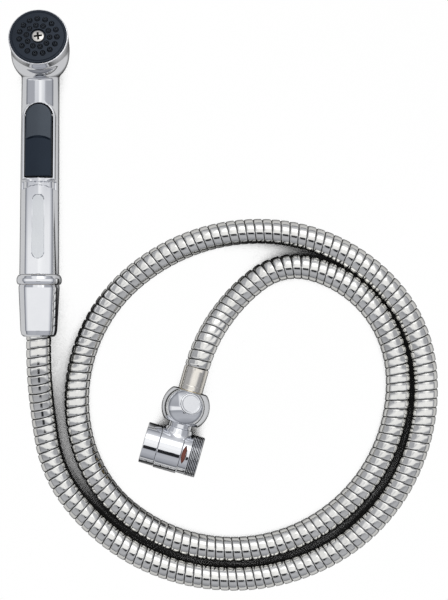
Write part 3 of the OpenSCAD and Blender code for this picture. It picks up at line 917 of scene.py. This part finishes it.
# profiles: radius, y, corner radius
TRIM_RING = [(9.72, 34.9, 0.2), (11.7, 34.9, 0.35), (12.45, 35.35, 0.6), (12.9, 36.6, 1.4),
             (12.9, 38.3, 1.4), (12.3, 39.7, 0.8), (11.6, 40.5, 0.3), (9.72, 40.5, 0.2)]
CONE_NUT = [(7.5, 5.2, 0.25), (8.7, 5.2, 0.6), (9.9, 6.3, 0.9), (10.5, 8.6, 1.0),
            (11.72, 33.3, 0.7), (11.45, 34.8, 0.3), (9.75, 34.8, 0.2), (9.75, 11.0, 0.2),
            (7.5, 11.0, 0.2)]
lathe("trim_ring_turned", TRIM_RING, SPRAYER, "sprayer", CHROME, "trim_ring")
lathe("cone_nut_turned", CONE_NUT, SPRAYER, "nut", CHROME, "cone_nut")

# ------------------------------------------------------------------ diverter

HOSE_SLEEVE = [(6.62, 35.5, 0.1), (6.95, 35.5, 0.2), (7.12, 36.0, 0.3), (7.12, 38.2, 0.2),
               (7.0, 38.45, 0.15), (7.12, 38.7, 0.2), (7.12, 47.3, 0.3), (7.05, 48.95, 0.25),
               (6.62, 48.95, 0.1)]
lathe("hose_sleeve_crimped", HOSE_SLEEVE, NECK, "hose_tail", SLEEVE, "hose_sleeve")


def ball_shape(points):
    """A ball cut flat at both ends of y."""
    x, y, z = points.T
    cap_x, cap_y, cap_z = (points @ CAP_TILT).T
    solid = np.sqrt(x * x + y * y + z * z) - 13.8
    solid = meet(solid, np.abs(y) - 9.5, 0.5)
    cap_seat = meet(np.hypot(cap_x, cap_y) - 5.95, 9.2 - cap_z, 0.15)
    solid = carve(solid, cap_seat, 0.25)
    # stepped bore along y
    radius = np.hypot(x, z)
    solid = carve(solid, meet(radius - 4.42, y + 3.8, 0.1), 0.2)
    solid = carve(solid, meet(meet(radius - 7.5, y - 4.65, 0.2), -4.3 - y, 0.2), 0.2)
    return carve(solid, meet(radius - 6.05, 4.2 - y, 0.1), 0.25)


carved_piece("diverter_ball_turned", ball_shape, ((-14.6, -10.4, -14.6), (14.6, 10.4, 14.6)),
             (0.6, 0.36), BALL, "ball", CHROME, "diverter_ball")


def cap_shape(points):
    """A disc with a shallow dish in its top."""
    x, y, z = points.T
    radius = np.hypot(x, y)
    disc = meet(meet(radius - 5.85, z - 12.5, 0.35), 9.25 - z, 0.2)
    return carve(disc, meet(radius - 4.85, 12.25 - z, 0.2), 0.2)


carved_piece("ball_cap_disc", cap_shape, ((-6.4, -6.4, 8.9), (6.4, 6.4, 13.1)), (0.34, 0.22),
             CAP, "ball", CHROME, "ball_cap")


def tee_shape(points):
    x, y, z = points.T
    radius = np.hypot(y, z)
    barrel = meet(meet(radius - 12.3, 8.65 - x, 0.4), x - 22.15, 0.4)
    stub = meet(meet(radius - 8.5, 5.9 - x, 0.2), x - 9, 0.2)
    tube = meet(meet(radius - 8.4, 20 - x, 0.2), x - 29.9, 0.2)
    # neck and skirt towards the ball, clear of the outlet adapter
    from_neck = np.hypot(x - NECK_X, z)
    boss = meet(meet(from_neck - 6.9, y - 16.1, 0.4), -y, 0.2)
    skirt = meet(from_neck - (8.6 - 0.28 * (y - 10)), y - 13.4, 0.4)
    skirt = meet(skirt, -y, 0.2)
    neck = carve(join(boss, skirt, 0.3), meet(radius - 11.72, 22.22 - x, 0.05), 0.15)
    solid = join(join(barrel, stub, 0.1), neck, 0.9)
    solid = join(solid, tube, 0.1)
    # bores along the axis and up the neck, and a groove round the stub
    solid = carve(solid, radius - 5.4, 0.2)
    solid = carve(solid, meet(from_neck - 5.9, 12.6 - y, 0.2), 0.2)
    solid = carve(solid, meet(from_neck - 4.45, -7 - y, 0.2), 0.2)
    return carve(solid, meet(meet(6.4 - x, x - 7.1, 0.05), 7.8 - radius, 0.05), 0.1)


carved_piece("tee_casting", tee_shape, ((5.2, -13.1, -13.1), (30.6, 17.2, 13.1)), (0.5, 0.235),
             TEE, "tee", CHROME, "tee_body")

PIPE_PITCH = 0.94


def adapter_shape(points):
    x, y, z = points.T
    radius = np.hypot(y, z)
    shoulder = meet(meet(radius - 11.6, 22.3 - x, 0.35), x - 27.3, 0.3)
    wave = thread_wave(x, y, z, PIPE_PITCH)
    thread = meet(meet(radius - (11.95 - 0.55 * wave), 27.0 - x, 0.3), x - 33.2, 0.7)
    solid = join(shoulder, thread, 0.08)
    # bore, washer seat and wider mouth
    solid = carve(solid, radius - 8.45, 0.1)
    solid = carve(solid, meet(radius - 10.65, x - 25.2, 0.1), 0.1)
    solid = carve(solid, meet(radius - 9.4, 30.2 - x, 0.2), 0.25)
    # lens-shaped window on top
    lens = meet(np.hypot(x - 24.05 + 9.5, y) - 10.9, np.hypot(x - 24.05 - 9.5, y) - 10.9, 0.1)
    return carve(solid, meet(lens, 8.7 - z, 0.1), 0.15)


# painted shade: the adapter's thread roots get the near-black material
def thread_root_shade(x, y, z):
    radius = np.hypot(y, z)
    return (x > 27.15) & (x < 33.1) & (radius > 11.0) & (radius < 11.66)


carved_piece("outlet_adapter_threaded", adapter_shape, ((21.6, -12.6, -12.6), (34.0, 12.6, 12.6)),
             (0.4, 0.2), TEE, "tee", CHROME, "outlet_adapter",
             [(thread_root_shade, PAINTED_SHADE_BLACK)])

WASHER = [(8.5, 22.35, 0.15), (10.55, 22.35, 0.2), (10.55, 25.1, 0.2), (8.5, 25.1, 0.15)]
TEE_AXIS = TEE * Place(rot("z", -90))  # a turned profile's y runs along the tee's axis
lathe("fibre_washer_cut", WASHER, TEE_AXIS, "tee", FIBRE, "fibre_washer")


def collar_shape(points):
    x, y, z = points.T
    radius = np.hypot(y, z)
    solid = meet(meet(radius - 11.8, -x, 0.5), x - 8.5, 0.4)
    wave = thread_wave(x, y, z, PIPE_PITCH)
    bore = meet(radius - (10.6 + 0.36 * wave * (x > 0.4)), x - 4.1, 0.1)
    bore = join(bore, meet(radius - 10.25, x - 7.1, 0.1), 0.05)
    solid = carve(solid, bore, 0.15)
    return carve(solid, radius - 8.56, 0.1)


carved_piece("inlet_collar_turned", collar_shape, ((-0.6, -12.6, -12.6), (9.1, 12.6, 12.6)),
             (0.5, 0.235), TEE, "collar", CHROME, "inlet_collar")

# ------------------------------------------------------------------ floor


def floor_material():
    """A glowing pale floor with painted shadow: ambient occlusion darkens it near the pieces;
    reflections see a softer, wider painted shade.
    """
    material = bpy.data.materials.new("pale_floor")
    nt = cleared_nodes(material)
    rays = node(nt, "LightPath", {})
    shade = node(nt, "AmbientOcclusion", {"Distance": 0.022}, samples=12).outputs["AO"]
    grain = noise(nt, scale=6.0, detail=3.0)
    # painted shadow: the camera sees black in narrow gaps and white a little way off; reflections
    # see a darker floor with a wider painted shade
    seen = ramp(nt, shade, [(0.0, 0.004), (0.30, 0.008), (0.345, 0.12), (0.38, 0.74),
                            (0.43, 0.96), (0.52, 1.0)])
    mirrored = ramp(nt, shade, [(0.0, 0.006), (0.64, 0.012), (0.80, 0.22), (0.90, 0.54),
                                (1.0, 0.66)])
    colour = mix_colour(nt, rays.outputs["Is Camera Ray"], mirrored, seen)
    strength = mapped(nt, grain, (0.3, 0.7), (0.995, 1.0))
    glow = node(nt, "Emission", {0: colour, 1: strength})
    node(nt, "OutputMaterial", {0: glow.outputs[0]})
    return material


def build_floor():
    half, z = 3, -0.0139  # metres
    material = floor_material()
    mesh = bpy.data.meshes.new("floor")
    corners = [(-half, -half, z), (half, -half, z), (half, half, z), (-half, half, z)]
    mesh.from_pydata(corners, [], [(0, 1, 2, 3)])
    floor = bpy.data.objects.new("floor", mesh)
    floor.data.materials.append(material)
    scene.collection.objects.link(floor)


build_floor()

# ------------------------------------------------------------------ world, light and camera


def studio_world():
    """A grey room, a long white lamp from side to side, a wide one and a narrow one running
    back in +Y, and a dark slot overhead. Stops are (direction from -1 to 1, brightness)."""
    world = bpy.data.worlds.new("studio")
    scene.world = world
    nt = cleared_nodes(world)
    coords = node(nt, "TexCoord", {})
    x, y, z = node(nt, "SeparateXYZ", {0: coords.outputs["Generated"]}).outputs

    def along(direction, stops):
        position = arithmetic(nt, "MULTIPLY_ADD", direction, 0.5, 0.5)
        return ramp(nt, position, [(0.5 + 0.5 * at, grey) for at, grey in stops])

    def times(a, b):
        return arithmetic(nt, "MULTIPLY", a, b)

    room = along(y, [(-1, 0.34), (-0.75, 0.52), (-0.45, 0.50), (-0.26, 0.36), (-0.19, 0.34),
                     (0.0, 0.44), (0.16, 0.44), (0.30, 0.44), (0.60, 0.50), (0.90, 0.42),
                     (1, 0.36)])
    band_y = along(y, [(-1, 0), (-0.24, 0), (-0.18, 1), (0.04, 1), (0.09, 0), (1, 0)])
    band_x = along(x, [(-1, 0.2), (-0.97, 0.6), (-0.90, 1), (0.90, 1), (0.97, 0.5), (1, 0.2)])
    strip_x = along(x, [(-1, 0), (-0.12, 0), (-0.05, 0.75), (0.04, 1.0), (0.16, 0.85),
                        (0.26, 0.5), (0.45, 0.22), (0.70, 0), (1, 0)])
    strip_y = along(y, [(-1, 0), (-0.05, 0), (-0.02, 0.55), (0.07, 0.70), (0.14, 1), (0.72, 1),
                        (0.82, 0), (1, 0)])
    wide_x = along(x, [(-1, 0), (-0.54, 0), (-0.44, 1), (0.47, 1), (0.58, 0), (1, 0)])
    wide_y = along(y, [(-1, 0), (0.07, 0), (0.11, 0.7), (0.20, 1), (0.74, 1), (0.92, 0.3),
                       (1, 0.2)])
    wide = times(wide_x, wide_y)
    slot_x = along(x, [(-1, 0), (-0.21, 0), (-0.16, 1), (0.15, 1), (0.20, 0), (1, 0)])
    slot_y = along(y, [(-1, 0), (-0.50, 0), (-0.45, 1), (-0.20, 1), (-0.17, 0), (1, 0)])

    # each lamp is laid over the light below it at its own brightness
    light = mix_value(nt, times(band_y, band_x), room, 0.96)
    light = mix_value(nt, wide, light, 0.92)
    light = mix_value(nt, times(strip_x, strip_y), light, 1.10)
    light = mix_value(nt, times(slot_x, slot_y), light, 0.02)
    horizon = along(z, [(-1, 1), (0.0, 0.45), (0.10, 0.55), (0.25, 1.0), (1, 1)])
    light = times(light, horizon)

    # the camera and matt surfaces see an even light
    rays = node(nt, "LightPath", {}).outputs
    plain = arithmetic(nt, "MAXIMUM", rays["Is Camera Ray"], rays["Is Diffuse Ray"])
    light = mix_value(nt, plain, light, 0.95)
    tint = mix_colour(nt, light, (0.90, 0.94, 1.06), (1.0, 1.0, 1.0))
    background = node(nt, "Background", {0: tint, 1: light})
    node(nt, "OutputWorld", {0: background.outputs[0]})


def key_light():
    place, aim = Vector((0.30, 1.10, 1.30)), Vector((0.045, 0.081, 0))  # metres
    light = bpy.data.lights.new("key", "AREA")
    light.shape = "RECTANGLE"
    light.size, light.size_y = 1.2, 0.8
    light.energy = 2
    ob = bpy.data.objects.new("key", light)
    ob.location = place
    ob.rotation_mode = "QUATERNION"
    ob.rotation_quaternion = (aim - place).to_track_quat("-Z", "Y")
    scene.collection.objects.link(ob)


def build_camera():
    """Looks straight down; its view is view_width wide at the coil's height."""
    distance, view_width = 1200, 345
    data = bpy.data.cameras.new("camera")
    camera = bpy.data.objects.new("camera", data)
    scene.collection.objects.link(camera)
    data.sensor_width = 36
    data.lens = 36 * distance / view_width
    data.clip_start, data.clip_end = 0.05, 20
    camera.location = (45.8275 * MM, 81.075 * MM, (distance - DROP) * MM)
    scene.camera = camera


studio_world()
key_light()
scene.view_settings.view_transform = "Standard"
scene.view_settings.look = "None"
scene.view_settings.exposure = 0.0
build_camera()
